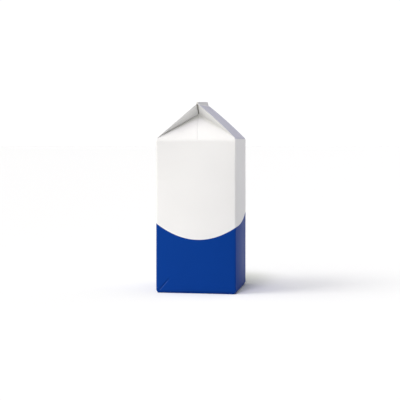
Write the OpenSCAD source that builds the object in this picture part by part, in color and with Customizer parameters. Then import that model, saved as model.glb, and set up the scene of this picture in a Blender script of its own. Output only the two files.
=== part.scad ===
// A shut gable-top carton: a square body of folded board, two roof panels that meet in a
// sealed fin, and at each gable end a panel tucked in under the roof between two wings.
// Millimetres, +Z up, standing on z = 0. The gable ends face -Y and +Y.

/* [Body] */
// Width of the body, from one roof side to the other
body_w = 95; // [60:1:140]
// Depth of the body, from one gable end to the other
body_d = 95; // [60:1:140]
// Height of the folds under the tucked end panels
end_fold_h = 180; // [90:1:300]
// How much higher the folds under the roof panels lie
roof_fold_lift = 1.5; // [0.5:0.1:4]
// Radius of the body's upright folds
fold_r = 1.5; // [0.5:0.1:5]
// Radius of the folds round the base
base_r = 1.5; // [0.5:0.1:5]

/* [Roof] */
// Height of the fin's foot above the end folds
roof_rise = 42.5; // [25:0.5:60]
// How far the fin lies to the right of the middle
ridge_shift = 1.2; // [-4:0.1:4]
// How far the fin's ends lie in from the gable ends
ridge_inset = 3.5; // [2:0.1:8]

/* [Tucked ends] */
// How far the peak of a tucked end panel lies in from its gable end
tuck_depth = 16; // [8:0.5:30]
// Height of that peak above the end folds
tuck_rise = 31; // [15:0.5:50]

/* [Fin] */
// Thickness of the sealed fin, four layers of board
fin_t = 1.8; // [1:0.1:4]
// Height of the fin above its foot at the front
fin_front_h = 2.5; // [1:0.1:15]
// Height of the fin above its foot at the back
fin_back_h = 4.8; // [1:0.1:15]
// How far the top corner of the fin's front end is trimmed back
front_trim = 1; // [0:0.5:10]
// How far the top corner of the fin's back end is trimmed back
back_trim = 9; // [0:0.5:15]

/* [Hidden] */

half_w = body_w / 2;
half_d = body_d / 2;
foot_z = end_fold_h + roof_rise;
roof_fold_h = end_fold_h + roof_fold_lift;
// Room that a cutting shape has past the surface it cuts from
past = 20;
// How deep the fin's foot is sunk in the roof it grows from
fin_sink = 1.5;
// The cutting wedge of a tucked end is this many times as long as the end panel
reach = 1.6;
fn_fold = 32;
// Degrees between the points of a rounded base fold
round_step = 15;
white_board = [0.94, 0.94, 0.93];

function fin_side(side) = ridge_shift + side * fin_t / 2;

// One upright fold with the round of the base's folds at its foot
module upright_fold() {
    round_r = min(base_r, fold_r);
    rotate_extrude($fn = fn_fold)
        polygon(concat(
            [[0, foot_z + past], [0, 0]],
            [for (a = [0:round_step:90]) [fold_r - round_r + round_r * sin(a), round_r - round_r * cos(a)]],
            [[fold_r, foot_z + past]]
        ));
}

// The body's outside, carried up past the roof
module folded_column() {
    hull() {
        for (sx = [-1, 1], sy = [-1, 1])
            translate([sx * (half_w - fold_r), sy * (half_d - fold_r), 0]) upright_fold();
    }
}

// All that lies above one roof panel; side is -1 for the left panel and 1 for the right
module above_roof(side) {
    // The panel's slope is carried on outward past its fold
    run = half_w - side * fin_side(side);
    slope = (foot_z - roof_fold_h) / run;
    out_x = side * (half_w + past);
    rotate([90, 0, 0])
        linear_extrude(height = body_d + 2 * past, center = true)
            polygon([
                [fin_side(side), foot_z],
                [out_x, roof_fold_h - slope * past],
                [out_x, foot_z + 2 * past],
                [fin_side(side), foot_z + 2 * past]
            ]);
}

// What stands straight up between the roof panels' top edges
module above_ridge() {
    translate([ridge_shift - fin_t, -half_d - past, foot_z])
        cube([2 * fin_t, body_d + 2 * past, 2 * past]);
}

// The hollow in front of a tucked end; it is a pyramid on its side, with its peak at the
// innermost point, that opens past the gable end. face is -1 for the front, 1 for the back
module tucked_end(face) {
    peak = [ridge_shift, face * (half_d - tuck_depth), end_fold_h + tuck_rise];
    rim = [
        [-half_w, face * half_d, end_fold_h],
        [half_w, face * half_d, end_fold_h],
        [half_w, face * half_d, roof_fold_h],
        [ridge_shift, face * (half_d - ridge_inset), foot_z],
        [-half_w, face * half_d, roof_fold_h]
    ];
    hull() {
        polyhedron(
            points = concat([peak], [for (p = rim) peak + reach * (p - peak)]),
            faces = [[0, 2, 1], [0, 3, 2], [0, 4, 3], [0, 5, 4], [0, 1, 5], [1, 2, 3], [1, 3, 5], [3, 4, 5]]
        );
    }
}

// The fin where the roof panels and wings are sealed together
module fin() {
    front_y = -half_d + ridge_inset;
    back_y = half_d - ridge_inset;
    side_view = [
        [front_y, foot_z - fin_sink],
        [back_y, foot_z - fin_sink],
        [back_y, foot_z],
        [back_y - back_trim, foot_z + fin_back_h],
        [front_y + front_trim, foot_z + fin_front_h],
        [front_y, foot_z]
    ];
    translate([fin_side(-1), 0, 0])
        rotate([90, 0, 90])
            linear_extrude(height = fin_t)
                polygon(side_view);
}

module carton() {
    color(white_board)
        union() {
            difference() {
                folded_column();
                for (side = [-1, 1]) above_roof(side);
                above_ridge();
                for (face = [-1, 1]) tucked_end(face);
            }
            fin();
        }
}

carton();
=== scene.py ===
# %% [markdown]
# # A gable-top carton, from its CAD frame
#
# The real thing is one sheet of coated board: four walls wrapped round a square, a folded
# base, two roof panels pressed together into a fin, and at each gable end a panel tucked in
# between two triangular wings. There are no moving parts, so one body carries everything.
#
# The CAD solid has the right planes and the right size, but only its plainest folds are
# rounded, and it has no creases, cut edges or print. This lesson builds the folded sheet again
# as one smooth surface inside that solid's box, prints it, and shows it on a white table.

# %% Load the frame
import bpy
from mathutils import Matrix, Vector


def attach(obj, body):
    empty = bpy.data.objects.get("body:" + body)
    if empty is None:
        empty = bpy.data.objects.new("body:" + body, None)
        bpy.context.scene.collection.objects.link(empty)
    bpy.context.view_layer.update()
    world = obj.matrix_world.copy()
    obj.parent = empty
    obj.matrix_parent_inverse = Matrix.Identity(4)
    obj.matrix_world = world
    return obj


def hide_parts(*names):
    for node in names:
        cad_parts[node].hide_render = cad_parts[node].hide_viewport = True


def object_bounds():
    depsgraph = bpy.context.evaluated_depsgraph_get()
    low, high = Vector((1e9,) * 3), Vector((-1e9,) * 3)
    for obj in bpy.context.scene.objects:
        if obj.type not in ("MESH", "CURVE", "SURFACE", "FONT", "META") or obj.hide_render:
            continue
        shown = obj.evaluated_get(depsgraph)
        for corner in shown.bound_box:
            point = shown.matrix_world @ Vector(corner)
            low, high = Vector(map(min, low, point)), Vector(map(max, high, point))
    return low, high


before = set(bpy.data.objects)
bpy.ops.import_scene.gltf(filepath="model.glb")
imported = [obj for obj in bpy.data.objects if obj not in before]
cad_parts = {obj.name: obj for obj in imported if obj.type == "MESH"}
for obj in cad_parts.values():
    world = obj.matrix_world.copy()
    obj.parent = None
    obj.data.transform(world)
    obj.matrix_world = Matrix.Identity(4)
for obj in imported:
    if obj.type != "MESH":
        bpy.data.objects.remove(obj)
box_low, box_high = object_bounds()
print("CAD box, mm:", [round(1000 * v, 1) for v in (*box_low, *box_high)])

# %% [markdown]
# ## Sizes
#
# The libraries come next: numpy works out all points of a surface at once, and bmesh mends the
# finished mesh. Every length below is in metres, written as a number of millimetres times MM.
# The width, the depth and the total height come from the frame. The heights of the folds are
# the board's own score lines, and they follow from that height.

import bmesh
import bpy
import numpy as np
from mathutils import Vector

MM = 0.001
HALF_W = (box_high.x - box_low.x) / 2
HALF_D = (box_high.y - box_low.y) / 2
TOP_Z = box_high.z

FIN_BACK_H = 4.8 * MM     # height of the fin above its foot, at the back
FIN_FRONT_H = 2.1 * MM    # and at the front, where it was pressed lower
ROOF_RISE = 42.5 * MM     # from the end folds up to the fin's foot
ROOF_FOLD_LIFT = 1.5 * MM  # the roof's folds are scored this much above the end folds
FIN_T = 1.8 * MM          # four layers of board
RIDGE_SHIFT = 1.2 * MM    # the fin was sealed a little right of the middle
RIDGE_INSET = 3.5 * MM    # how far its ends lie in from the gable ends
TUCK_DEPTH = 16 * MM      # how far in the peak of a tucked end panel lies
TUCK_RISE = 31 * MM       # and how high above the end folds
FRONT_TRIM = 1 * MM       # the slope of the fin's front end takes this much of its length
BACK_TRIM = 9 * MM        # and the slope of its back end this much
BACK_SET = 6 * MM         # that slope comes down this far before the end of the ridge

FOOT_Z = TOP_Z - FIN_BACK_H
END_FOLD_Z = FOOT_Z - ROOF_RISE
ROOF_FOLD_Z = END_FOLD_Z + ROOF_FOLD_LIFT
print("end folds at", round(END_FOLD_Z / MM, 1), "mm, fin foot at", round(FOOT_Z / MM, 1), "mm")

# %% [markdown]
# ## The camera
#
# It stands level with the carton's shoulder, a little to the right of the gable end's middle
# line, and looks straight ahead. A camera tilted down would make the upright folds converge,
# so the lens is shifted instead, as in a studio, and the carton sits low in the frame. A lens
# of about 95 mm from well over a metre gives the gentle narrowing towards the back.

# %% Camera
VIEW_AZIMUTH = np.radians(9.4)   # towards the right-hand roof side
VIEW_DISTANCE = 1.2944           # from the carton's upright middle line
VIEW_SLIDE = -2.65 * MM          # sideways, which puts the carton just right of centre
FOCAL_LENGTH = 95.87
SENSOR_WIDTH = 36
LOOK_DOWN_SHIFT = -0.15


def add_camera():
    """Places a level camera on the circle of VIEW_DISTANCE round the carton's middle line."""
    data = bpy.data.cameras.new("view")
    data.sensor_width = SENSOR_WIDTH
    data.lens = FOCAL_LENGTH
    data.shift_y = LOOK_DOWN_SHIFT
    camera = bpy.data.objects.new("view", data)
    towards = Vector((np.sin(VIEW_AZIMUTH), -np.cos(VIEW_AZIMUTH), 0))
    sideways = Vector((np.cos(VIEW_AZIMUTH), np.sin(VIEW_AZIMUTH), 0))
    camera.location = VIEW_DISTANCE * towards + VIEW_SLIDE * sideways + Vector((0, 0, END_FOLD_Z))
    camera.rotation_euler = (np.pi / 2, 0, VIEW_AZIMUTH)
    bpy.context.scene.collection.objects.link(camera)
    bpy.context.scene.camera = camera
    return camera


print("camera at", [round(v, 3) for v in add_camera().location])

# %% [markdown]
# ## The sheet as a function
#
# The blank could be drawn flat and folded panel by panel, but the panels' edges would have to
# be matched again after each fold. A function of two numbers has no edges to match, so every
# point of the board is named by two. `around` counts walls, anticlockwise from the front's
# left fold: 0 to 1 is the front, 1 to 2 the right side, 2 to 3 the back, 3 to 4 the left side.
# `up` counts stretches of board on the way up one fibre:
#
# - 0 to 1: the base, from its middle to the fold
# - 1 to 2: the wall
# - 2 to 3: the tucked end panel, or on the sides the last bit of wall
# - 3 to 4: the wing, or on the sides the roof panel
# - 4 to 5: the fin; on the gable ends the fibre has already ended
#
# Each stretch is straight, so a fibre is a broken line through six knots, and the whole pack
# is six closed curves of knots. That is how the real blank is scored.

# %% Knots of every fibre
CREASE_FOOT_X = 2.4 * MM   # the end panel's middle crease starts a little right of the middle
BASE_LIFT = 0.6 * MM       # the folded base stands this much clear of the table
TINY = 1e-9


def mix(a, b, t):
    """Straight line from a to b: a + t (b - a)."""
    return a + (b - a) * t


def place(x, y, z):
    """Three arrays as one array of points."""
    return np.stack(np.broadcast_arrays(x, y, z), axis=-1)


def fin_height(y):
    """Height of the fin over y: a straight climb to the back, cut down to 0 at both ends."""
    end = HALF_D - RIDGE_INSET
    back_end = end - BACK_SET
    climb = mix(FIN_FRONT_H, FIN_BACK_H, np.clip((y + end) / (end + back_end - BACK_TRIM), 0, 1))
    return climb * np.clip((y + end) / FRONT_TRIM, 0, 1) * np.clip((back_end - y) / BACK_TRIM, 0, 1)


def gable_knots(q, face):
    """Knots of the fibres of a gable end; q runs along it with the wall, face is -1 or 1.

    s is 0 at both upright folds and 1 at the crease. The panel's top runs straight from the
    fold to the tucked peak, and the wing's top from the fin's end to the same peak."""
    turn = -face                      # the front runs to +x and the back to -x
    along = 2 * q - 1
    s = 1 - np.abs(along)
    half = turn * np.sign(along + TINY)
    crease_x = CREASE_FOOT_X
    x = mix(crease_x, half * HALF_W, 1 - s)
    y = face * HALF_D
    corner = place(half * HALF_W, y, ROOF_FOLD_Z)
    peak = place(RIDGE_SHIFT, face * (HALF_D - TUCK_DEPTH), END_FOLD_Z + TUCK_RISE)
    fin_end = place(RIDGE_SHIFT + half * FIN_T / 2, face * (HALF_D - RIDGE_INSET), FOOT_Z)
    s = s[..., None]
    wing_top = mix(fin_end, peak, s)
    return [
        place(0 * x, 0, BASE_LIFT), place(x, y, 0), place(x, y, END_FOLD_Z),
        mix(corner, peak, s), wing_top, wing_top,
    ]


def side_knots(q, side):
    """Knots of the fibres of a roof side; the fin's foot is shorter than the roof's fold."""
    y = side * (2 * q - 1) * HALF_D
    ridge_y = y * (1 - RIDGE_INSET / HALF_D)
    x = side * HALF_W
    fin_x = RIDGE_SHIFT + side * FIN_T / 2
    return [
        place(0 * y, 0, BASE_LIFT), place(x, y, 0), place(x, y, END_FOLD_Z),
        place(x, y, ROOF_FOLD_Z), place(fin_x, ridge_y, FOOT_Z),
        place(fin_x, ridge_y, FOOT_Z + fin_height(ridge_y)),
    ]


def knots(around):
    """The six knots of each fibre, as an array of shape (6, ..., 3)."""
    around = np.mod(around, 4)
    wall, q = np.floor(around), np.mod(around, 1)
    walls = [gable_knots(q, -1), side_knots(q, 1), gable_knots(q, 1), side_knots(q, -1)]
    picked = np.stack([np.stack(w) for w in walls])
    index = wall.astype(int)
    grid = np.indices(index.shape)
    return np.stack([picked[(index, k, *grid)] for k in range(6)])


peak_z = knots(np.array([0.5]))[3, 0, 2]
print("the front's middle fibre is tucked at", round(peak_z / MM, 1), "mm")

# %% [markdown]
# ## Rounding every fold at once
#
# Board doesn't fold to a knife edge. A bevel modifier would need each fold to be picked out,
# and it fails where five of them meet in one corner. Instead each point becomes the average of
# the sharp shape over a small patch of board round it: where the board is flat nothing moves,
# and at a fold the average cuts the corner in a smooth arc, always on the inside.

# %% Sharp and rounded sheet
AROUND_REACH = 1.5 * MM   # half the patch, round the carton
UP_REACH = 1.9 * MM       # and half the patch, up the fibre
WALL_SHARE = 1.25         # the walls' upright folds are this much rounder than the roof's
BASE_SHARE = 2.6          # and so are the base's folds
TUCK_SHARE = 0.3          # the fold between the end panel and the left wing is sharper
TUCK_RIGHT_SHARE = 1.8    # and the one beside the right wing was folded more softly
CUT_EDGE_SHARE = 0.08     # and the fin's cut edge isn't a fold at all
BASE_RAMP = 0.05          # how much of a stretch the base's rounding takes to fade
TUCK_RAMP = 0.4           # and how much the tucked fold's takes
CORNER_RAMP = 1 / 12      # share of a wall over which a tucked fold's own rounding sets in
WALL_ZONE = (0.9, 1.98)   # where along a fibre the walls' rounding applies
WALL_RAMP = (1 / 10, 1 / 8)  # and over how much of it that sets in and fades
PATCH = np.linspace(-1, 1, 7)


def sharp_sheet(around, up, shift=0.0):
    """Point on the sharp shape, `shift` metres further up the fibre than `up`.

    Each stretch adds its own vector times the share of it that has been climbed, and that
    share is clipped to 0 and 1."""
    k = knots(around)
    step = k[1:] - k[:-1]
    length = np.maximum(np.linalg.norm(step, axis=-1), TINY)
    start = np.concatenate([0 * length[:1], np.cumsum(length, axis=0)[:-1]])
    share = np.clip(up - np.arange(5).reshape(-1, *[1] * up.ndim), 0, 1)
    climbed = (share * length).sum(axis=0) + shift
    share = np.clip((climbed - start) / length, 0, 1)
    return k[0] + (share[..., None] * step).sum(axis=0)


def reach_share(around, up):
    """How long the patch is, as a share of UP_REACH.

    It's longer at the base, shorter at the sharply creased fold under a wing, and almost
    nothing at the fin's cut edge; each change is a straight ramp."""
    from_corner = 0.5 - np.abs(np.mod(around, 1) - 0.5)
    on_gable = np.clip(from_corner / CORNER_RAMP, 0, 1) * (np.floor(around) % 2 == 0)
    share = 1 + (BASE_SHARE - 1) * np.clip(1 - np.abs(up - 1) / BASE_RAMP, 0, 1)
    tuck = np.where(around % 4 < 0.5, TUCK_SHARE, np.where(around % 4 < 1, TUCK_RIGHT_SHARE, 1))
    share = share + (tuck - 1) * np.clip(1.4 - np.abs(up - 3) / TUCK_RAMP, 0, 1) * on_gable
    return share * mix(1, CUT_EDGE_SHARE, np.clip(up - 4, 0, 1) * (1 - on_gable))


def rounded_sheet(around, up):
    """Mean of the sharp shape over the patch: offsets round the wall times offsets up it.

    On a wall the patch is WALL_SHARE as wide, with a short ramp at the wall's foot and top."""
    total = 0
    up_reach = UP_REACH * reach_share(around, up)
    on_wall = np.clip((up - WALL_ZONE[0]) / WALL_RAMP[0], 0, 1)
    on_wall = on_wall * np.clip((WALL_ZONE[1] - up) / WALL_RAMP[1], 0, 1)
    around_reach = AROUND_REACH * mix(1, WALL_SHARE, on_wall) / (2 * HALF_W)
    for across in PATCH:
        for climb in PATCH:
            total = total + sharp_sheet(around + across * around_reach, up, climb * up_reach)
    return total / PATCH.size ** 2


front_left_fold = rounded_sheet(np.array([0.0]), np.array([1.5]))[0]
print("an upright fold is cut to", round(HALF_W / MM + front_left_fold[0] / MM, 2),
      "mm inside its sharp edge")

# %% [markdown]
# ## Where the grid lines go
#
# Flat board needs few points and folds need many. The lines are gathered at the folds, at the
# middle crease and over the small diagonal score at the front's lower left. The lists are
# symmetrical, so the left and right halves can be zipped together at the top.

# %% Grid lines
WALL_W = 2 * HALF_W
SCORE_FROM = (-44.5 * MM, 2.5 * MM)   # the diagonal score, from low left
SCORE_TO = (-29.5 * MM, 19.5 * MM)    # to up right, as x and z on the front wall
HAIR = 1e-4                # lines closer than this share of a stretch count as one


def merged(*parts):
    """Sorted lines from several lists, without pairs closer than a hair."""
    lines = np.unique(np.concatenate(parts))
    return lines[np.concatenate([[True], np.diff(lines) > HAIR])]


def mirrored(lines):
    """The same lines and their mirror image about a half."""
    half = lines[lines < 0.5 - HAIR]
    return np.concatenate([half, [0.5], 1 - half[::-1]])


FOLD_ZONE = 4.4 * MM       # dense lines reach this far from an upright fold
CREASE_ZONE = 3.2 * MM     # and this far from a gable's middle crease
SCORE_SIDE = 19 * MM       # the diagonal score ends before this, from the fold
near_fold = np.linspace(0, FOLD_ZONE, 13) / WALL_W
near_crease = 0.5 - np.linspace(0, CREASE_ZONE, 11) / WALL_W
near_score = np.linspace(FOLD_ZONE, SCORE_SIDE, 34) / WALL_W
side_lines = mirrored(merged(near_fold, np.linspace(FOLD_ZONE / WALL_W, 0.5, 14)))
gable_lines = mirrored(merged(near_fold, near_score, np.linspace(0.24, 0.46, 8), near_crease))
around_lines = np.concatenate(
    [wall + lines[:-1] for wall, lines in enumerate([gable_lines, side_lines] * 2)]
)


def eased(count):
    """count steps from 0 to 1, short at both ends: half of one minus the cosine."""
    return 0.5 - 0.5 * np.cos(np.linspace(0, np.pi, count + 1))


FOOT_ZONE = 3 * MM         # dense lines on both sides of the base's fold
SCORE_ZONE = 21 * MM       # the diagonal score ends below this
SHOULDER_ZONE = 4 * MM     # and dense lines again just below the end fold
base_up = merged(np.linspace(0, 0.94, 12), 1 - np.linspace(0, FOOT_ZONE, 9) / HALF_W)
wall_up = 1 + merged(
    np.linspace(0, FOOT_ZONE, 9),
    np.linspace(FOOT_ZONE, SCORE_ZONE, 38),
    np.linspace(SCORE_ZONE + 3 * MM, END_FOLD_Z - SHOULDER_ZONE, 36),
    np.linspace(END_FOLD_Z - SHOULDER_ZONE, END_FOLD_Z, 11),
) / END_FOLD_Z
panel_up = 2 + eased(22)
wing_up = 3 + eased(30)
fin_up = 4 + eased(9)
up_lines = np.concatenate([base_up[:-1], wall_up[:-1], panel_up[:-1], wing_up[:-1], fin_up])
print(around_lines.size, "lines round the carton,", up_lines.size, "lines up it")

# %% [markdown]
# ## Scores, creases and the cut edge of the seam
#
# A score is a shallow groove pressed in the board. Its depth falls off from its line like a
# bell curve, and it is pushed straight in, against the surface's own direction. Four show: the
# crease down the middle of a tucked end, the fold under one wing, the short diagonal score,
# and the line on the left wall where one end of the sheet is glued over the other. Cutting
# them into the mesh, not only into the shading, keeps them in any light and from any side.

# %% Grooves pressed in the sheet
CREASE_DEPTH = 0.40 * MM
CREASE_WIDTH = 0.42 * MM
CREASE_LEAN = 1.3 * MM    # the crease's top misses the tucked peak by this much
CREASE_FADE_LOW = 0.02    # the crease fades over this share of the panel at its foot
CREASE_FADE_HIGH = 0.05   # and over this share at its top
TUCK_CREASE_DEPTH = 0.6 * MM   # pressed in along the fold between end panel and wing
TUCK_CREASE_WIDTH = 0.9 * MM
TUCK_PANEL = 34 * MM      # length of a tucked panel's fibre
TUCK_WING = 20 * MM       # and of a wing's fibre
TUCK_FADE = 1 / 8         # share of a wall over which that fold's groove sets in
SCORE_DEPTH = 0.70 * MM
SCORE_WIDTH = 0.80 * MM
SCORE_FADE = (0.12, 0.35)  # shares of its length over which it fades at its two ends
SEAM_DEPTH = 0.25 * MM
SEAM_WIDTH = 0.30 * MM
SEAM_FROM_FOLD = 1.6 * MM


def bell(distance, width):
    """Bell curve: e to the minus square of distance over width."""
    return np.exp(-(distance / width) ** 2)


def distance_to_line(x, z, start, end):
    """Distance in the wall's plane to a straight line, and how far along it, from 0 to 1."""
    dx, dz = end[0] - start[0], end[1] - start[1]
    length = np.hypot(dx, dz)
    along = ((x - start[0]) * dx + (z - start[1]) * dz) / length ** 2
    across = ((x - start[0]) * dz - (z - start[1]) * dx) / length
    return across, along


def score_line(around, up, points, offset, width):
    """Bell curve across the diagonal score, shifted by an offset; it fades at both ends."""
    across, along = distance_to_line(points[..., 0], points[..., 2], SCORE_FROM, SCORE_TO)
    ends = np.clip(along / SCORE_FADE[0], 0, 1) * np.clip((1 - along) / SCORE_FADE[1], 0, 1)
    return bell(across - offset, width) * ends * (np.floor(around) == 0) * (up < 2)


def crease_press(wall, q, up):
    """Down a gable's middle fibre, but leaning to its left by CREASE_LEAN at the top."""
    from_crease = (q - 0.5) * WALL_W + CREASE_LEAN * np.clip(up - 2, 0, 1)
    fade = np.clip((up - 2) / CREASE_FADE_LOW, 0, 1) * np.clip((3 - up) / CREASE_FADE_HIGH, 0, 1)
    return CREASE_DEPTH * bell(from_crease, CREASE_WIDTH) * (wall % 2 == 0) * (up > 2) * fade


def tuck_press(wall, q, up):
    """Along the fold at up = 3, on the front's left half and the back's mirror of it."""
    from_fold = np.where(up < 3, (up - 3) * TUCK_PANEL, (up - 3) * TUCK_WING)
    inner = np.clip((0.5 - np.abs(q - 0.5)) / TUCK_FADE, 0, 1)
    pressed_half = (wall == 0) == (q < 0.5)
    pressed = bell(from_fold, TUCK_CREASE_WIDTH) * inner * pressed_half * (wall % 2 == 0)
    return TUCK_CREASE_DEPTH * pressed


def seam_press(wall, q, up):
    """Up the left wall and its roof panel, SEAM_FROM_FOLD from the back fold."""
    on_seam = (wall == 3) & (up > 1.01) & (up < 4)
    return SEAM_DEPTH * bell(q * WALL_W - SEAM_FROM_FOLD, SEAM_WIDTH) * on_seam


def groove_depth(around, up, points):
    """How deep the sheet is pressed at each point, all grooves added together."""
    wall, q = np.floor(around), np.mod(around, 1)
    depth = crease_press(wall, q, up) + tuck_press(wall, q, up) + seam_press(wall, q, up)
    return depth + SCORE_DEPTH * score_line(around, up, points, 0, SCORE_WIDTH)


print("grooves from", SEAM_DEPTH / MM, "to", SCORE_DEPTH / MM, "mm deep")

# %% [markdown]
# ## Waves and bulge
#
# The board of a filled pack is never quite flat. A few long, shallow waves bend the light a
# little, and the middle of each wall stands a hair proud of its folds. Both only ever press
# inward, so the pack stays inside its box.

# %% Bulge and slight unevenness of the filled pack
WAVE_DEPTH = 0.06 * MM
WAVE_FOOT, WAVE_HEAD = 12 * MM, 8 * MM      # the waves fade over this much at both ends
BULGE = 0.05 * MM         # how far the folds lie behind the middle of a wall
BULGE_FOOT, BULGE_HEAD = 70 * MM, 60 * MM   # it fades towards the base and the end folds


def wave_depth(points):
    """Two crossed sine waves, about 110 and 90 mm long, shifted so that they only press inward."""
    x, y, z = (points[..., i] for i in range(3))
    first = np.sin(x / (21 * MM) + z / (34 * MM) + 0.6)
    second = np.sin(y / (23 * MM) - z / (17 * MM) + 1.9)
    inside = np.clip(z / WAVE_FOOT, 0, 1) * np.clip((END_FOLD_Z - z) / WAVE_HEAD, 0, 1)
    return WAVE_DEPTH * 0.25 * (2 + first + second) * inside


def bulge_depth(around, points):
    """BULGE at the folds and at top and base; towards a wall's middle 1 - u^2 of it is left."""
    u = 2 * np.mod(around, 1) - 1
    z = points[..., 2]
    upright = np.clip(z / BULGE_FOOT, 0, 1) * np.clip((END_FOLD_Z - z) / BULGE_HEAD, 0, 1)
    upright = np.sin(np.pi / 2 * np.clip(upright * 1.5, 0, 1)) ** 2
    low = np.clip(z / (2 * MM), 0, 1) * np.clip((FOOT_Z - z) / (FOOT_Z - END_FOLD_Z), 0, 1)
    return BULGE * (1 - (1 - u ** 2) * upright) * low


print("waves and bulge together press in by at most", round((WAVE_DEPTH + BULGE) / MM, 2), "mm")

# %% [markdown]
# ## The bowed roof panel
#
# On the right the roof panel is a little too long for its slope, because the fin was sealed
# right of the middle, so it bows out. A half sine wave does it: nothing at the roof's fold and
# at the fin, most halfway up.

# %% The right roof panel bows out
ROOF_BOW = 0.85 * MM


def roof_bow(around, up):
    """Half a sine wave up the right roof panel, square to it.

    The wings beside it share its edges, so they follow, less and less towards their peaks."""
    wall, q = np.floor(around), np.mod(around, 1)
    rise = np.sin(np.pi * np.clip(up - 3, 0, 1))
    s = 1 - np.abs(2 * q - 1)
    beside = ((wall == 0) & (q > 0.5)) | ((wall == 2) & (q < 0.5))
    weight = np.where(wall == 1, 1.0, np.where(beside, (1 - s) ** 3, 0.0))
    run, climb = HALF_W - RIDGE_SHIFT, FOOT_Z - ROOF_FOLD_Z
    square = np.array([climb, 0, run]) / np.hypot(run, climb)
    return (ROOF_BOW * rise * weight)[..., None] * square


print("the right roof panel bows out by", ROOF_BOW / MM, "mm")

# %% [markdown]
# ## All points at once
#
# Here the pieces meet: the rounded sheet, then the bow, then everything that presses inward.
# Inward is against the sheet's own normal, which is the cross product of the two directions
# along the grid. The distance between the sharp and the rounded shape tells how strongly each
# point is folded, and the material uses that for the wear of the ink. Beside the diagonal score
# a paler line is added: cracked ink, and a painted highlight on the flank that faces the light.

# %% Points of the sheet
FOLD_WEAR = 0.35           # wear of the sharpest fold
# beside the diagonal score the ink is paler: cracked ink, and a painted highlight on its lower
# right flank, which faces the light
CRACK_AND_HIGHLIGHT = 0.75          # the ink has cracked beside the diagonal score
CRACK_OFFSET = 0.7 * MM    # along its lower right flank
CRACK_WIDTH = 0.6 * MM
around_grid, up_grid = np.meshgrid(around_lines, up_lines, indexing="ij")
sheet = rounded_sheet(around_grid, up_grid)
sheet[:, 0] = sheet[:, 0].mean(axis=0)     # all fibres start in one point
sheet = sheet + roof_bow(around_grid, up_grid)
fold_share = np.linalg.norm(sheet - sharp_sheet(around_grid, up_grid), axis=-1)
fold_share = FOLD_WEAR * fold_share / fold_share.max()
# the paler line beside the score, cracked ink and painted highlight in one
crack_and_highlight = score_line(around_grid, up_grid, sheet, CRACK_OFFSET, CRACK_WIDTH)
fold_share = fold_share + CRACK_AND_HIGHLIGHT * crack_and_highlight


def sheet_normals(points):
    """Outward direction: slope round the carton times slope up it, as a cross product."""
    d_around = np.roll(points, -1, axis=0) - np.roll(points, 1, axis=0)
    d_up = np.gradient(points, axis=1)
    normal = np.cross(d_around, d_up)
    return normal / np.maximum(np.linalg.norm(normal, axis=-1, keepdims=True), TINY ** 2)


pressed = groove_depth(around_grid, up_grid, sheet) + wave_depth(sheet)
pressed = pressed + bulge_depth(around_grid, sheet)
sheet = sheet - pressed[..., None] * sheet_normals(sheet)
gable = np.floor(around_lines) % 2 == 0
ended = up_lines > 4                       # on the gable ends the fibres end at 4
sheet[np.ix_(gable, ended)] = sheet[gable][:, [np.argmax(ended) - 1]]
print("sheet of", sheet.shape[0] * sheet.shape[1], "points; deepest press",
      round(pressed.max() / MM, 2), "mm")

# %% [markdown]
# ## Closing the sheet
#
# The grid is a tube. At its foot all fibres meet in the base's middle. At its top the left
# and right halves run side by side, from the front peak up the valley between the wings, over
# the fin and down to the back peak. A strip joins them like a zip. On the fin it is the cut
# edge of four layers of board, so it has three fine grooves along it, and its own attribute
# lets the material show the bare board there.

# %% Zip the halves
LAYERS = 4
LAYER_POINTS = 4           # points across one layer
LAYER_GROOVE = 0.12 * MM
SLOT_DEPTH = 2.5 * MM      # how deep the slot between two wings is
SLOT_MOUTH = 0.3 * MM      # a narrower gap has a shallower slot


def zip_strip(points):
    """Points across the gap between the halves, with a groove between each two layers.

    Between the wings the strip is the back of a narrow slot, so half a sine wave pushes it
    inward there."""
    count = points.shape[0]
    order = np.arange(count // 2 + 1)
    first = gable_lines.size // 2     # the front's middle fibre
    right = (first + order) % count
    left = (first - order) % count
    t = np.linspace(0, 1, LAYERS * LAYER_POINTS + 1)[1:-1]
    strip = mix(points[right, -1, None], points[left, -1, None], t[None, :, None])
    groove = LAYER_GROOVE * (0.5 + 0.5 * np.cos(2 * np.pi * LAYERS * t))
    gap = np.linalg.norm(points[right, -1] - points[left, -1], axis=-1)
    strip[..., 2] -= groove[None, :] * np.clip(gap / FIN_T, 0, 1)[:, None]
    in_valley = np.clip((FOOT_Z - SLOT_MOUTH - strip[..., 2]) / MM, 0, 1)
    slot = SLOT_DEPTH * np.sin(np.pi * t) * np.clip(gap / SLOT_MOUTH, 0, 1)[:, None]
    strip[..., 1] -= np.sign(strip[..., 1]) * slot * in_valley
    return strip, right, left


strip, right, left = zip_strip(sheet)
print("the zip is", strip.shape[0], "points long and", strip.shape[1] + 2, "across")

# %% [markdown]
# ## One mesh
#
# The tube and the zip share their points' numbers, so they are one mesh from the start. Where
# fibres meet, in the base's middle and at the peaks, several points lie in one place: merging
# them leaves a skin without a gap, which a mesh has to be if it's to be printed or weighed.

# %% One closed mesh
MERGE_REACH = 2e-6
# the roof panels get painted shade between these two places up the fibre
ROOF_SHADE_UP = (3.0, 3.97)    # from the roof's fold to just below the fin


def quads(index):
    """Four corners of every cell of a grid of point numbers."""
    a, b = index[:-1, :-1], index[1:, :-1]
    c, d = index[1:, 1:], index[:-1, 1:]
    return np.stack([a, b, c, d], axis=-1).reshape(-1, 4)


def new_mesh(name, points, faces, **attributes):
    """A mesh from arrays of points and faces, with a number per point for each attribute."""
    mesh = bpy.data.meshes.new(name)
    mesh.from_pydata(points.reshape(-1, 3).tolist(), [], faces.tolist())
    for label, values in attributes.items():
        layer = mesh.attributes.new(label, "FLOAT", "POINT")
        layer.data.foreach_set("value", values.astype(np.float32))
    return mesh


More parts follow.
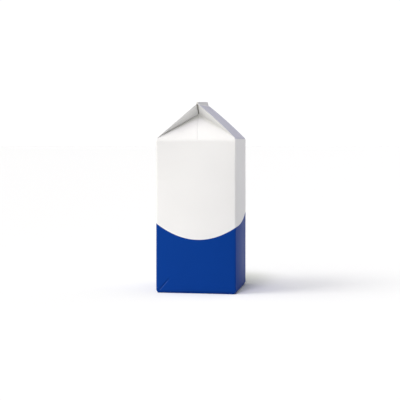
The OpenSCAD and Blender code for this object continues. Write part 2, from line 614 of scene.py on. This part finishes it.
def carton_mesh(name):
    """The tube and its zip; cut_edge, fold and roof are 0 where they don't apply. roof marks where
    the roof panels get painted shade, and fold also carries the painted highlight beside the
    diagonal score.
    """
    count, rows = sheet.shape[:2]
    index = np.arange(count * rows).reshape(count, rows)
    inner = count * rows + np.arange(strip.shape[0] * strip.shape[1]).reshape(strip.shape[:2])
    across = np.concatenate([index[right, -1, None], inner, index[left, -1, None]], axis=1)
    faces = np.concatenate([quads(np.concatenate([index, index[:1]])), quads(across)])
    points = np.concatenate([sheet.reshape(-1, 3), strip.reshape(-1, 3)])
    on_fin = np.clip((HALF_D - RIDGE_INSET - np.abs(strip[..., 1])) / FRONT_TRIM, 0, 1)
    on_roof = (np.floor(around_grid) % 2 == 1) & (ROOF_SHADE_UP[0] < up_grid) & (up_grid < ROOF_SHADE_UP[1])
    no_tube, no_zip = np.zeros(count * rows), np.zeros(on_fin.size)
    return new_mesh(
        name, points, faces,
        cut_edge=np.concatenate([no_tube, on_fin.ravel()]),
        fold=np.concatenate([fold_share.ravel(), no_zip]),
        roof=np.concatenate([on_roof.ravel(), no_zip]),
    )


def weld(mesh):
    """Joins points that coincide, drops faces with no area and turns normals outward."""
    work = bmesh.new()
    work.from_mesh(mesh)
    bmesh.ops.remove_doubles(work, verts=work.verts, dist=MERGE_REACH)
    bmesh.ops.dissolve_degenerate(work, dist=1e-7, edges=work.edges)
    bmesh.ops.recalc_face_normals(work, faces=work.faces)
    open_edges = sum(not e.is_manifold for e in work.edges)
    work.to_mesh(mesh)
    work.free()
    print(mesh.name, "has", len(mesh.polygons), "faces and", open_edges, "open or shared edges")


shell_mesh = carton_mesh("carton_board")
weld(shell_mesh)

# %% [markdown]
# ## Small node helpers
#
# A material is a tree of nodes, and the editor shows it as boxes and wires. In a script the
# wires would drown the idea, so these helpers add a node, set its plain values and link the
# rest, and each recipe below reads as a list of steps.

# %% Node helpers


def add_node(tree, kind, settings=None, **inputs):
    """Adds a node; `settings` are its properties, and each input is a value or a socket."""
    node = tree.nodes.new(kind)
    for key, value in (settings or {}).items():
        setattr(node, key, value)
    for key, value in inputs.items():
        name = key.replace("_", " ").strip()
        socket = node.inputs[int(name)] if name.isdigit() else node.inputs[name]
        if isinstance(value, bpy.types.NodeSocket):
            tree.links.new(value, socket)
        else:
            socket.default_value = value
    return node


def maths(tree, operation, a, b=0.0, c=0.0, clamp=False):
    """One sum on two or three numbers or sockets; gives back the result's socket."""
    settings = {"operation": operation, "use_clamp": clamp}
    return add_node(tree, "ShaderNodeMath", settings, _0=a, _1=b, _2=c).outputs[0]


def new_group(name, inputs, outputs):
    """An empty node group; inputs are (name, kind, default) and outputs (name, kind)."""
    group = bpy.data.node_groups.new(name, "ShaderNodeTree")
    for label, kind, default in inputs:
        socket = group.interface.new_socket(name=label, in_out="INPUT", socket_type=kind)
        if default is not None:
            socket.default_value = default
    for label, kind in outputs:
        group.interface.new_socket(name=label, in_out="OUTPUT", socket_type=kind)
    source = group.nodes.new("NodeGroupInput").outputs
    sink = group.nodes.new("NodeGroupOutput").inputs
    return group, source, sink


def tell(group):
    """Prints what a group is made of."""
    print("group", group.name, "has", len(group.nodes), "nodes")


print("node helpers are ready")

# %% [markdown]
# ## The print
#
# The blue field has a sagging top edge on each gable end, and on the roof sides the edge
# climbs towards the back. Both follow from where a point is, so the edge is a sum: its height
# at the middle, plus a square of x for the sag, plus a cube of the way to the back. The
# group puts out 1 below the edge and 0 above it, over a fifth of a millimetre of soft ink.

# %% Print group
EDGE_MIDDLE_Z = 63.2 * MM   # the edge's lowest point, in the middle of a gable end
EDGE_SAG = 16.9 * MM        # how much higher it is at the upright folds
EDGE_TILT = -1.9 * MM       # how much lower on the right than on the left, about the middle
EDGE_CLIMB = 13.2 * MM      # how much it climbs along a roof side
INK_SOFTNESS = 0.2 * MM


def print_group():
    """Mask of the blue field: 1 where z is below middle + tilt u + sag u^2 + climb v^3."""
    group, source, sink = new_group(
        "printed_field", [("Place", "NodeSocketVector", None)], [("Mask", "NodeSocketFloat")]
    )
    xyz = add_node(group, "ShaderNodeSeparateXYZ", _0=source["Place"])
    u = maths(group, "DIVIDE", xyz.outputs["X"], HALF_W)
    v = maths(group, "MULTIPLY_ADD", xyz.outputs["Y"], 1 / (2 * HALF_D), 0.5, clamp=True)
    sag = maths(group, "MULTIPLY_ADD", maths(group, "MULTIPLY", u, u), EDGE_SAG, EDGE_MIDDLE_Z)
    tilt = maths(group, "MULTIPLY_ADD", u, EDGE_TILT, sag)
    edge = maths(group, "MULTIPLY_ADD", maths(group, "POWER", v, 3.0), EDGE_CLIMB, tilt)
    below = maths(group, "SUBTRACT", edge, xyz.outputs["Z"])
    mask = maths(group, "MULTIPLY_ADD", below, 1 / INK_SOFTNESS, 0.5, clamp=True)
    group.links.new(mask, sink["Mask"])
    return group


printed_field = print_group()
tell(printed_field)

# %% [markdown]
# ## The board's grain
#
# Coated board is smooth, but not like plastic: the coating follows the fibres underneath in
# a faint, fine unevenness, finer one way than the other, because the fibres lie up the pack.
# The same group serves the height, a slight cloudiness of the colour and of the gloss.

# %% Grain group
FIBRE_SCALE = 900.0        # cells of noise in a metre, so a fibre is about a millimetre
FIBRE_STRETCH = (1, 1, 0.35)
DIMPLE_SCALE = 210.0
DIMPLE_SHARE = 0.8         # the dimples' part of the height, against the fibres' 1
CLOUD_SCALE = 26.0


def noise(tree, place, scale, detail):
    """Soft noise from 0 to 1, read at a place."""
    return add_node(
        tree, "ShaderNodeTexNoise", Vector=place, Scale=scale, Detail=detail
    ).outputs[0]


def grain_group():
    """Fine stretched noise for the height and a broad noise for the cloudiness."""
    group, source, sink = new_group(
        "board_grain",
        [("Place", "NodeSocketVector", None), ("Fibre Scale", "NodeSocketFloat", FIBRE_SCALE)],
        [("Height", "NodeSocketFloat"), ("Cloud", "NodeSocketFloat")],
    )
    place = source["Place"]
    stretched = add_node(
        group, "ShaderNodeVectorMath", {"operation": "MULTIPLY"}, _0=place, _1=FIBRE_STRETCH
    ).outputs[0]
    fibre = noise(group, stretched, source["Fibre Scale"], 3.0)
    dimple = noise(group, place, DIMPLE_SCALE, 2.0)
    group.links.new(maths(group, "MULTIPLY_ADD", dimple, DIMPLE_SHARE, fibre), sink["Height"])
    group.links.new(noise(group, place, CLOUD_SCALE, 3.0), sink["Cloud"])
    return group


board_grain = grain_group()
tell(board_grain)

# %% [markdown]
# ## The push of the milk
#
# A full pack's walls swell between their folds, and light from the side shows it as a slow
# change from one fold to the other. The outline of this pack stays straight, so the swelling
# isn't in the mesh: a bump node tilts the light's view of the wall and moves nothing. The
# height falls with the square of the distance from the wall's middle. On every wall that
# distance is the smaller of |x| and |y|, so one sum serves all four.

# %% Swell group
SWELL = 3.6 * MM           # from a wall's middle back to its folds
SWELL_TOP_GAP = 2 * MM     # it ends this far below the end folds
SWELL_RAMP = 45 * MM       # and grows to its full size over this height


def swell_group():
    """Height = -(smaller of |x| and |y| over half the width) squared, below the roof only."""
    group, source, sink = new_group(
        "filled_swell", [("Place", "NodeSocketVector", None)], [("Height", "NodeSocketFloat")]
    )
    size = add_node(group, "ShaderNodeVectorMath", {"operation": "ABSOLUTE"}, _0=source["Place"])
    xyz = add_node(group, "ShaderNodeSeparateXYZ", _0=size.outputs[0])
    near = maths(group, "MINIMUM", xyz.outputs["X"], xyz.outputs["Y"])
    share = maths(group, "DIVIDE", near, HALF_W)
    fall = maths(group, "MULTIPLY", maths(group, "MULTIPLY", share, share), -1.0)
    below = maths(group, "SUBTRACT", END_FOLD_Z - SWELL_TOP_GAP, xyz.outputs["Z"])
    wall = maths(group, "MULTIPLY", below, 1 / SWELL_RAMP, clamp=True)
    group.links.new(maths(group, "MULTIPLY", fall, wall), sink["Height"])
    return group


filled_swell = swell_group()
tell(filled_swell)

# %% [markdown]
# ## Wear at the folds, and a painted highlight
#
# Ink cracks a little where board is folded, and the coating is polished by handling. The mesh
# carries how strongly each point was rounded, with a painted highlight added beside the diagonal
# score; the group breaks that up with noise.

# %% Fold wear group
SPECKLE_SCALE = 320.0
SPECKLE_GAIN = 1.5
WEAR_GAIN, WEAR_START = 1.6, -0.5   # a fold weaker than about a third doesn't wear
WEAR_STRENGTH = 0.3


def fold_wear_and_highlight_group():
    """Wear and painted highlight = fold strength above a threshold, broken up by noise."""
    group, source, sink = new_group(
        "fold_wear_and_highlight",
        [("Place", "NodeSocketVector", None), ("Fold", "NodeSocketFloat", 0.0),
         ("Strength", "NodeSocketFloat", WEAR_STRENGTH)],
        [("Wear", "NodeSocketFloat")],
    )
    speckle = noise(group, source["Place"], SPECKLE_SCALE, 4.0)
    speckle = maths(group, "MULTIPLY", speckle, SPECKLE_GAIN, clamp=True)
    raised = maths(group, "MULTIPLY_ADD", source["Fold"], WEAR_GAIN, WEAR_START, clamp=True)
    broken = maths(group, "MULTIPLY", raised, speckle)
    group.links.new(maths(group, "MULTIPLY", broken, source["Strength"], clamp=True), sink["Wear"])
    return group


fold_wear_and_highlight = fold_wear_and_highlight_group()
tell(fold_wear_and_highlight)

# %% [markdown]
# ## The board's colours
#
# White clay-coated board with a blue field. The colour is a chain of mixes: white, painted
# shade in lavender grey on both roof panels, blue where printed, a paler blue where the ink is
# worn, with a painted highlight beside the diagonal score, and the cream of bare fibre on cut
# edges. A faint cloudiness and painted shade in the nooks between the folds then scale it.
# Ambient occlusion finds the nooks, and the colour is darkened there.

# %% Colours of the board
WHITE = (0.755, 0.75, 0.743, 1)
BLUE = (0.002, 0.038, 0.238, 1)
# painted shade: the roof panels' darker lavender grey stands in for the shade they lie in
ROOF_PAINTED_SHADE = (0.535, 0.535, 0.60, 1)
# paler blue of worn ink, and of the painted highlight beside the diagonal score
WORN_INK_AND_HIGHLIGHT = (0.16, 0.24, 0.46, 1)
BARE_FIBRE = (0.50, 0.49, 0.46, 1)
CLOUD_SHARE = 0.05         # how much the colour varies
# painted shade: nooks that ambient occlusion finds within this reach are darkened in the colour
NOOK_REACH = 16 * MM
PAINTED_NOOK_SHADE = 0.60           # the deepest nook keeps this share of its colour
NOOK_CURVE = 1.4
NOOK_SAMPLES = 16


def attribute(tree, name):
    """The mesh's own number per point, as a socket."""
    return add_node(tree, "ShaderNodeAttribute", {"attribute_name": name}).outputs["Fac"]


def grouped(tree, group, **inputs):
    """A node that stands for a group."""
    return add_node(tree, "ShaderNodeGroup", {"node_tree": group}, **inputs)


def mix_colour(tree, factor, a, b):
    """Colour a with b laid over it by factor."""
    node = add_node(tree, "ShaderNodeMix", {"data_type": "RGBA"}, _0=factor, _6=a, _7=b)
    return node.outputs[2]


def paint_nook_shade(tree):
    """Painted shade of the nooks: the set share of the colour in the deepest nook, 1 in the open,
    and a curve between the two.
    """
    settings = {"only_local": True, "samples": NOOK_SAMPLES}
    node = add_node(tree, "ShaderNodeAmbientOcclusion", settings, Distance=NOOK_REACH)
    open_share = maths(tree, "POWER", node.outputs["AO"], NOOK_CURVE)
    return maths(tree, "MULTIPLY_ADD", open_share, 1 - PAINTED_NOOK_SHADE, PAINTED_NOOK_SHADE)


def board_colour(tree, place, cut, cloud):
    """The chain of mixes, times the cloudiness, times the painted shade of the nooks."""
    # wear carries the worn ink and the painted highlight beside the diagonal score
    wear = grouped(tree, fold_wear_and_highlight, Place=place, Fold=attribute(tree, "fold")).outputs["Wear"]
    # painted shade: the roof panels are mixed to the darker lavender grey
    bare = mix_colour(tree, attribute(tree, "roof"), WHITE, ROOF_PAINTED_SHADE)
    blue = grouped(tree, printed_field, Place=place).outputs["Mask"]
    colour = mix_colour(tree, blue, bare, mix_colour(tree, wear, BLUE, WORN_INK_AND_HIGHLIGHT))
    colour = mix_colour(tree, cut, colour, BARE_FIBRE)
    cloud_and_shade = maths(tree, "MULTIPLY_ADD", cloud, CLOUD_SHARE, 1 - CLOUD_SHARE / 2)
    # painted shade in the nooks darkens the colour
    cloud_and_shade = maths(tree, "MULTIPLY", cloud_and_shade, paint_nook_shade(tree))
    return add_node(
        tree, "ShaderNodeVectorMath", {"operation": "SCALE"}, _0=colour, Scale=cloud_and_shade
    ).outputs[0]


print("white, blue and roof tint:", WHITE[:3], BLUE[:3], ROOF_PAINTED_SHADE[:3])

# %% [markdown]
# ## The coated board
#
# A thin film over the clay gives the board a satin sheen, the same on white and on blue. The
# Principled shader stays in the material and the groups feed it: the cloudiness varies the
# roughness, and two bumps in a row, the swelling and then the grain, turn the normal.

# %% Coated board material
SHEEN_ROUGHNESS = 0.50
ROUGHNESS_SPREAD = 0.10    # how much the cloudiness varies it
CUT_ROUGHER = 0.4          # a cut edge is this much rougher
GLOSS = 0.035              # share of an ordinary plastic's mirror, for a matt ink
GRAIN_HEIGHT = 0.02 * MM


def board_bump(tree, place, grain_height):
    """The swelling of the walls, with the grain on top of it; gives back the normal."""
    swell = grouped(tree, filled_swell, Place=place).outputs["Height"]
    swollen = add_node(tree, "ShaderNodeBump", Height=swell, Distance=SWELL, Strength=1.0)
    grained = add_node(
        tree, "ShaderNodeBump", Height=grain_height, Distance=GRAIN_HEIGHT, Strength=1.0,
        Normal=swollen.outputs["Normal"],
    )
    return grained.outputs["Normal"]


def board_material(name):
    """Principled board: its colour, its sheen and its normal."""
    material = bpy.data.materials.new(name)
    material.use_nodes = True
    tree = material.node_tree
    place = add_node(tree, "ShaderNodeTexCoord").outputs["Object"]
    grain = grouped(tree, board_grain, Place=place).outputs
    cut = attribute(tree, "cut_edge")
    least = SHEEN_ROUGHNESS - ROUGHNESS_SPREAD / 2
    rough = maths(tree, "MULTIPLY_ADD", grain["Cloud"], ROUGHNESS_SPREAD, least)
    rough = maths(tree, "MULTIPLY_ADD", cut, CUT_ROUGHER, rough)
    shader = tree.nodes["Principled BSDF"].inputs
    tree.links.new(board_colour(tree, place, cut, grain["Cloud"]), shader["Base Color"])
    tree.links.new(rough, shader["Roughness"])
    tree.links.new(board_bump(tree, place, grain["Height"]), shader["Normal"])
    shader["Specular IOR Level"].default_value = GLOSS
    shader["IOR"].default_value = 1.5
    return material


coated_board = board_material("coated_board")
print("coated board has", len(coated_board.node_tree.nodes), "nodes")

# %% [markdown]
# ## The carton as a piece
#
# A piece is an object that rides on a body of the model, so that it goes wherever the body
# goes. This one also replaces the CAD solid, which stays behind for collisions.

# %% The carton as a piece


def add_piece(name, mesh, material):
    """Links a mesh as a piece that rides on the root body, at the origin, smooth shaded."""
    mesh.materials.append(material)
    mesh.polygons.foreach_set("use_smooth", np.ones(len(mesh.polygons), bool))
    piece = bpy.data.objects.new(name, mesh)
    bpy.context.scene.collection.objects.link(piece)
    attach(piece, "root")
    return piece


shell = add_piece("carton_board", shell_mesh, coated_board)
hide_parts("carton")
print(shell.name, "rides on root and replaces the CAD solid")

# %% [markdown]
# ## The base's closing flap
#
# Underneath, one panel folds over the others and shows its cut edge. It is a thin slab with
# round corners that fills the space under the lifted base, flush with the folds.

# %% Base flap
FLAP_T = 0.5 * MM
FLAP_SIDE_GAP = 3 * MM
FLAP_REACH = 12 * MM      # how far past the base's middle the flap reaches
FLAP_POINTS = 160         # round its outline
FLAP_POWER = 0.16         # the smaller, the sharper its corners
RING_SHRINK = np.array([0, 0.5, 0.985, 1.0, 1.0, 0.985, 0.5, 0])      # underside, rim, top
RING_LEVEL = np.array([0, 0, 0, 0.15, 0.85, 1, 1, 1]) * FLAP_T
RING_IS_RIM = np.array([0, 0, 0, 1, 1, 0, 0, 0])


def rounded_oblong(half_x, half_y):
    """Cosine and sine, each raised to a small power, which keeps the sides nearly straight."""
    turn = np.linspace(0, 2 * np.pi, FLAP_POINTS, endpoint=False)
    x, y = np.cos(turn), np.sin(turn)
    return np.stack([
        half_x * np.sign(x) * np.abs(x) ** FLAP_POWER,
        half_y * np.sign(y) * np.abs(y) ** FLAP_POWER,
    ], axis=-1)


def flap_mesh(name):
    """A slab as a grid of rings: the outline times each ring's share, at the ring's level."""
    low_y, high_y = -HALF_D + FLAP_SIDE_GAP, FLAP_REACH
    outline = rounded_oblong(HALF_W - FLAP_SIDE_GAP, (high_y - low_y) / 2)
    plan = RING_SHRINK[None, :, None] * outline[:, None]
    points = place(plan[..., 0], plan[..., 1] + (high_y + low_y) / 2, RING_LEVEL[None, :])
    index = np.arange(plan.shape[0] * plan.shape[1]).reshape(plan.shape[:2])
    faces = quads(np.concatenate([index, index[:1]]))
    return new_mesh(name, points, faces, cut_edge=np.tile(RING_IS_RIM, plan.shape[0]))


base_flap_mesh = flap_mesh("base_flap")
weld(base_flap_mesh)
add_piece("base_flap", base_flap_mesh, coated_board)

# %% [markdown]
# ## The table
#
# A matt white table that runs far out, so that its edge is lost in the white behind it. It is
# part of the stage and not of the carton.

# %% Table
FLOOR_WHITE = (0.83, 0.835, 0.84, 1)
FLOOR_HALF = 30.0


def floor_material():
    """Matt white, with hardly any mirror."""
    material = bpy.data.materials.new("white_table")
    material.use_nodes = True
    shader = material.node_tree.nodes["Principled BSDF"]
    shader.inputs["Base Color"].default_value = FLOOR_WHITE
    shader.inputs["Roughness"].default_value = 0.7
    shader.inputs["Specular IOR Level"].default_value = 0.1
    return material


def add_floor():
    """A wide square at z = 0."""
    signs = np.array([(-1, -1, 0), (1, -1, 0), (1, 1, 0), (-1, 1, 0)])
    mesh = new_mesh("table", FLOOR_HALF * signs, np.array([(0, 1, 2, 3)]))
    mesh.materials.append(floor_material())
    floor = bpy.data.objects.new("table", mesh)
    bpy.context.scene.collection.objects.link(floor)


add_floor()
print("the table is", 2 * FLOOR_HALF, "m wide")

# %% [markdown]
# ## Two lamps
#
# The soft shadow to the right comes from two far lamps: the key stands high in front, the
# other one to its left and lower. A sun lamp is even over the whole table, and its angle is
# how wide it looks from there: the wider, the softer the shadow's edge.

# %% Lamps
KEY = dict(
    turn=np.radians(-10), rise=np.radians(60),      # azimuth and elevation
    strength=1.42, tint=(0.88, 0.84, 1.0),          # in watts per square metre
    softness=np.radians(15),
)
SIDE = dict(
    turn=np.radians(-62), rise=np.radians(46),
    strength=0.93, tint=(1.0, 1.0, 0.94),
    softness=np.radians(28),
)
LAMP_DISTANCE = 3.0


def direction(turn, rise):
    """Unit vector towards a lamp; turn runs from straight in front towards the right."""
    flat = np.cos(rise)
    return Vector((np.sin(turn) * flat, -np.cos(turn) * flat, np.sin(rise)))


def add_lamp(name, turn, rise, strength, tint, softness):
    """A sun at a distance from the carton's middle, facing it."""
    data = bpy.data.lights.new(name, "SUN")
    data.energy, data.color, data.angle = strength, tint, softness
    towards = direction(turn, rise)
    lamp = bpy.data.objects.new(name, data)
    lamp.location = Vector((0, 0, TOP_Z / 2)) + LAMP_DISTANCE * towards
    lamp.rotation_euler = towards.to_track_quat("Z", "Y").to_euler()
    bpy.context.scene.collection.objects.link(lamp)
    print(name, "shines from", [round(v, 2) for v in towards])


add_lamp("key", **KEY)
add_lamp("side", **SIDE)

# %% [markdown]
# ## The room
#
# A wide window, high on the left, a pale wall behind the carton on the right and a ceiling
# fill the shade. The window stands well to the front, so that the left wall of the carton
# stays a little below white and shows against the background. To the camera the room is plain
# white, as a lit studio wall is, and what shines on the carton is the room described here.

# %% Room
WINDOW = direction(np.radians(-60), np.radians(35)), (1.60, 1.58, 1.42)
WALL = direction(np.radians(130), 0), (1.06, 1.05, 1.18)
CEILING = Vector((0, 0, 1)), (0.16, 0.18, 0.13)
SEEN_WHITE = 1.05


def wall_light(tree, towards, brightness):
    """Light of one side of the room: its brightness times the square of the ray's share."""
    ray = add_node(tree, "ShaderNodeTexCoord").outputs["Generated"]
    dot = {"operation": "DOT_PRODUCT"}
    facing = add_node(tree, "ShaderNodeVectorMath", dot, _0=ray, _1=towards).outputs["Value"]
    share = maths(tree, "MAXIMUM", facing, 0.0)
    share = maths(tree, "MULTIPLY", share, share)
    return add_node(
        tree, "ShaderNodeVectorMath", {"operation": "SCALE"}, _0=brightness, Scale=share
    ).outputs[0]


def add_room():
    """A world that is white to the camera, and as a light the sum of the room's sides."""
    world = bpy.data.worlds.new("studio")
    world.use_nodes = True
    tree = world.node_tree
    tree.nodes.clear()
    glow = (0, 0, 0)
    for towards, brightness in (WINDOW, WALL, CEILING):
        light = wall_light(tree, towards, brightness)
        glow = add_node(tree, "ShaderNodeVectorMath", _0=glow, _1=light).outputs[0]
    seen = add_node(tree, "ShaderNodeBackground", Color=(1, 1, 1, 1), Strength=SEEN_WHITE)
    shining = add_node(tree, "ShaderNodeBackground", Color=glow, Strength=1.0)
    camera_ray = add_node(tree, "ShaderNodeLightPath").outputs["Is Camera Ray"]
    both = add_node(
        tree, "ShaderNodeMixShader", _0=camera_ray, _1=shining.outputs[0], _2=seen.outputs[0]
    )
    add_node(tree, "ShaderNodeOutputWorld", Surface=both.outputs[0])
    bpy.context.scene.world = world
    print("the room has", len(tree.nodes), "nodes")


add_room()
bpy.context.scene.view_settings.view_transform = "Standard"
